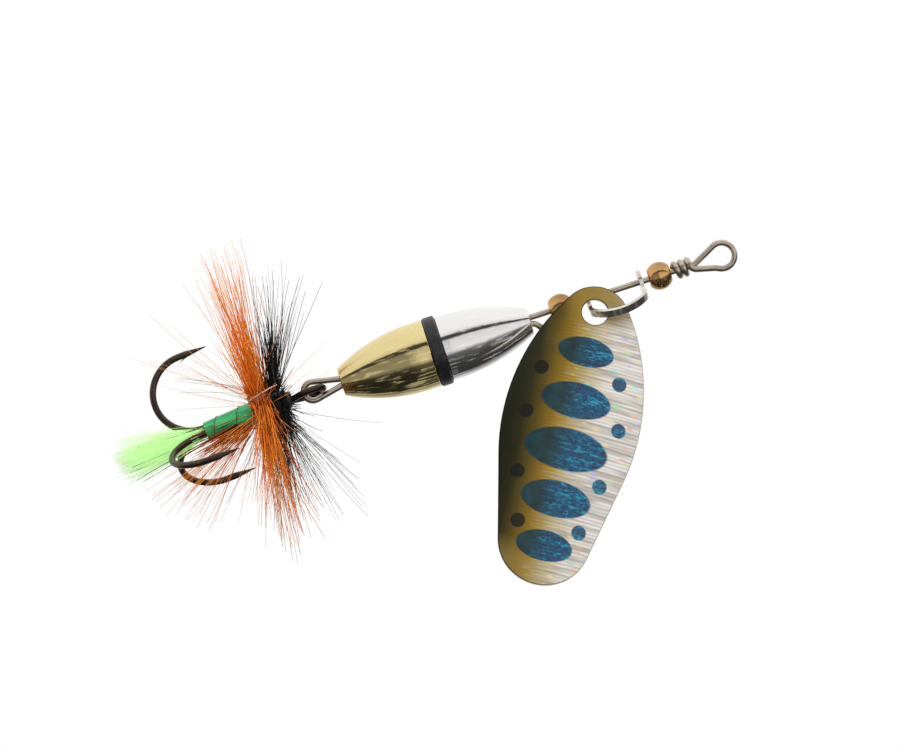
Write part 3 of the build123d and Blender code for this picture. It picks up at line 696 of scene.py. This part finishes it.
drape(orange_strands, 75, HUB, 1.75, (3.5, 9, 6), (0.45, 0.22), 0.055)
piece("orange_barbs", orange_strands.verts, orange_strands.faces, orange, "orange_feather",
      ["orange_hackle_fibres"], orange_strands.tint)

black_strands = Strands()
HUB = (-50.3, -49.3)
spray(black_strands, 60, (182, 12), HUB, 1.5, (4, 9.5, 7), (17, 6), (0.3, 0.2), 0.055)
spray(black_strands, 34, (182, 14), HUB, 1.5, (8, 15, 12), (24, 8), (0.5, 0.2), 0.040)
spray(black_strands, 30, (2, 24), HUB, 1.5, (6, 15, 11), (10, 8), (0.5, 0.25), 0.032)
spray(black_strands, 130, (-75, 60), (-50.2, -48.7), 1.3, (0.8, 3.0, 1.5), (14, 26), (0.3, 0.25), 0.055)
spray(black_strands, 40, (75, 50), HUB, 1.5, (2, 7, 4), (6, 14), (0.4, 0.2), 0.045)
spray(black_strands, 36, (6, 20), HUB, 1.5, (7, 13, 11), (-11, 5), (0.4, 0.2), 0.045)
spray(black_strands, 20, (0, 60), HUB, 1.4, (7, 16, 12), (9, 9), (0.6, 0.25), 0.028)
spray(black_strands, 8, (190, 60), HUB, 1.4, (6, 13, 10), (34, 12), (0.6, 0.25), 0.024)
spray(black_strands, 45, (180, 24), HUB, 1.4, (1.2, 3.4, 2.2), (12, 16), (0.25, 0.2), 0.060)
spray(black_strands, 45, (0, 28), HUB, 1.4, (1.2, 3.6, 2.4), (6, 16), (0.25, 0.2), 0.060)
spray(black_strands, 14, (180, 80), HUB, 1.4, (8, 14, 11), (-36, 18), (0.6, 0.2), 0.026)
drape(black_strands, 30, HUB, 1.4, (2.5, 8, 4), (0.35, 0.2), 0.050)
piece("black_barbs", black_strands.verts, black_strands.faces, black, "black_feather",
      ["black_hackle_fibres"], black_strands.tint)


wound("thread_wraps", (HEAD_TOP, BLACK_TOP), lambda t: (0.62 + 0.68 * math.sqrt(t)) * MM, 9, 0.05 * MM,
      winding("black_thread", (0.035, 0.034, 0.036), (0.006, 0.006, 0.007), 0.5, 9000),
      "black_thread", ["thread_head"])
wound("black_quill_wraps", (BLACK_TOP, ORANGE_TOP), lambda t: (1.25 + 0.35 * math.sqrt(t)) * MM, 3, 0.22 * MM,
      winding("black_quill", (0.050, 0.043, 0.040), (0.006, 0.006, 0.006), 0.45, 5200),
      "black_feather", ["black_hackle_quill"])
wound("orange_quill_wraps", (ORANGE_TOP, FLOSS_TOP), lambda t: 1.8 * MM, 5, 0.26 * MM,
      winding("orange_quill", (0.56, 0.17, 0.05), (0.17, 0.035, 0.008), 0.45, 5200),
      "orange_feather", ["orange_hackle_quill"])
wound("floss_wraps", (FLOSS_TOP, TUFT_TOP), lambda t: (1.24 - 0.24 * t) * MM, 22, 0.012 * MM,
      winding("green_floss", (0.035, 0.56, 0.17), (0.008, 0.21, 0.065), 0.28, 3600, True),
      "green_floss", ["floss_body"])

# the quill's end lies across both collars on the near side
stem = Strands()
stem_places = (
    (-1.72, -1.15, -49.1), (-1.66, -1.62, -49.9), (-1.52, -1.86, -50.8),
    (-1.36, -1.84, -51.7), (-1.18, -1.60, -52.6),
)
stem_points = [Vector(place) * MM for place in stem_places]
stem.add(stem_points, 0.085 * MM, 0.05 * MM, 0.5, 8)
piece("quill_stem", stem.verts, stem.faces, quill_pale, "orange_feather", (), stem.tint)

# rib: one dark thread wound open over the floss
rib_points = []
RIB_TURNS, RIB_STEPS = 2, 40
for i in range(RIB_TURNS * RIB_STEPS + 1):
    t = i / (RIB_TURNS * RIB_STEPS)
    angle = 2 * math.pi * RIB_TURNS * t + 0.6
    radius = (1.26 - 0.24 * t) * MM
    rib_points.append(AXIS + Vector((math.cos(angle), math.sin(angle), 0)) * radius
                      + Vector((0, 0, FLOSS_TOP + (TUFT_TOP - FLOSS_TOP) * (0.02 + 0.96 * t))))


def rib_tube(points, radius):
    """Round thread along points that wind about the hook."""
    verts, faces, sides = [], [], 8
    for i, point in enumerate(points):
        ahead = (points[min(i + 1, len(points) - 1)] - points[max(i - 1, 0)]).normalized()
        out = (point - AXIS)
        out.z = 0
        out.normalize()
        other = ahead.cross(out)
        for k in range(sides):
            angle = 2 * math.pi * k / sides
            verts.append(point + (out * math.cos(angle) + other * math.sin(angle)) * radius)
        if i:
            base = (i - 1) * sides
            faces += [(base + k, base + (k + 1) % sides, base + sides + (k + 1) % sides, base + sides + k)
                      for k in range(sides)]
    faces.append(tuple(reversed(range(sides))))
    faces.append(tuple(range(len(verts) - sides, len(verts))))
    return verts, faces


rib_shade = winding("dark_rib", (0.020, 0.140, 0.060), (0.004, 0.012, 0.006), 0.4, 9000)
piece("rib_wraps", *rib_tube(rib_points, 0.045 * MM), rib_shade, "dark_rib", ["rib_thread"])

# ---------------- tail ----------------
fluff_shade = feather(
    "green_fluff", ((0.0, (0.40, 0.86, 0.27)), (0.35, (0.62, 0.94, 0.44)), (1.0, (0.88, 1.0, 0.70))), 0.0,
)
# the fluff gives off a little light, to stand for the light that shows through it
fluff_surface = fluff_shade.node_tree.nodes["Principled BSDF"]
fluff_surface.inputs["Emission Color"].default_value = (0.52, 0.88, 0.36, 1.0)
fluff_surface.inputs["Emission Strength"].default_value = 0.30
flash_shade = feather(
    "green_flash",
    ((0.0, (0.004, 0.05, 0.02)), (0.6, (0.012, 0.13, 0.05)), (1.0, (0.10, 0.30, 0.12))), 0.1,
)

FLUFF_COUNT = 900
fluff = Strands()
for _ in range(FLUFF_COUNT):
    around = rng.uniform(0, 2 * math.pi)
    spread = rng.random() ** 0.6
    out = Vector((math.cos(around), math.sin(around), 0))
    start = rng.triangular(0.0, 0.45, 0.0)
    level = Vector((0, 0, TUFT_TOP + (TUFT_END - TUFT_TOP) * start))
    root = AXIS + out * (0.10 + (0.45 + 0.5 * start) * spread) * MM + level
    lean = math.radians(5 + 22 * spread * rng.random())
    way = out * math.sin(lean) + Vector((-0.03, 0, -math.cos(lean)))
    later = (way + Vector((rng.gauss(0.03, 0.08), rng.gauss(0, 0.08), -0.5)) - out * 0.22).normalized()
    reach = (1 - start) * rng.triangular(5.5, 11.0, 9.5) * MM
    points = curve_points(root, way, later, reach, 6, 0.08 * MM)
    fluff.add(points, 0.026 * MM, 0.008 * MM, rng.gauss(0.45 + 0.3 * start, 0.15))
piece("tail_fluff", fluff.verts, fluff.faces, fluff_shade, "green_fluff", ["tail_tuft"], fluff.tint)

# azimuth and lean in degrees, distance from the axis and length in millimetres
FLASH = (
    (-10, 0.75, 2.5, 9.6), (-30, 1.0, 9.0, 9.2), (110, 0.8, 6.0, 8.5), (-130, 0.8, 5.0, 8.0),
    (10, 0.95, 11.0, 8.6), (-60, 0.9, 4.0, 9.0), (170, 0.7, 3.0, 8.2),
)
flash = Strands()
for azimuth, out_r, lean, length in FLASH:
    around, slope = math.radians(azimuth), math.radians(lean)
    out = Vector((math.cos(around), math.sin(around), 0))
    root = AXIS + out * out_r * MM + Vector((0, 0, TUFT_TOP + 0.4 * MM))
    way = out * math.sin(slope) + Vector((0, 0, -math.cos(slope)))
    points = curve_points(root, way, way, length * MM, 26, 0.07 * MM)
    flash.add(points, 0.085 * MM, 0.035 * MM, rng.uniform(0.2, 0.7), 6, 0.4)
piece("tail_flash", flash.verts, flash.faces, flash_shade, "dark_green_strand", ["tail_strands"], flash.tint)
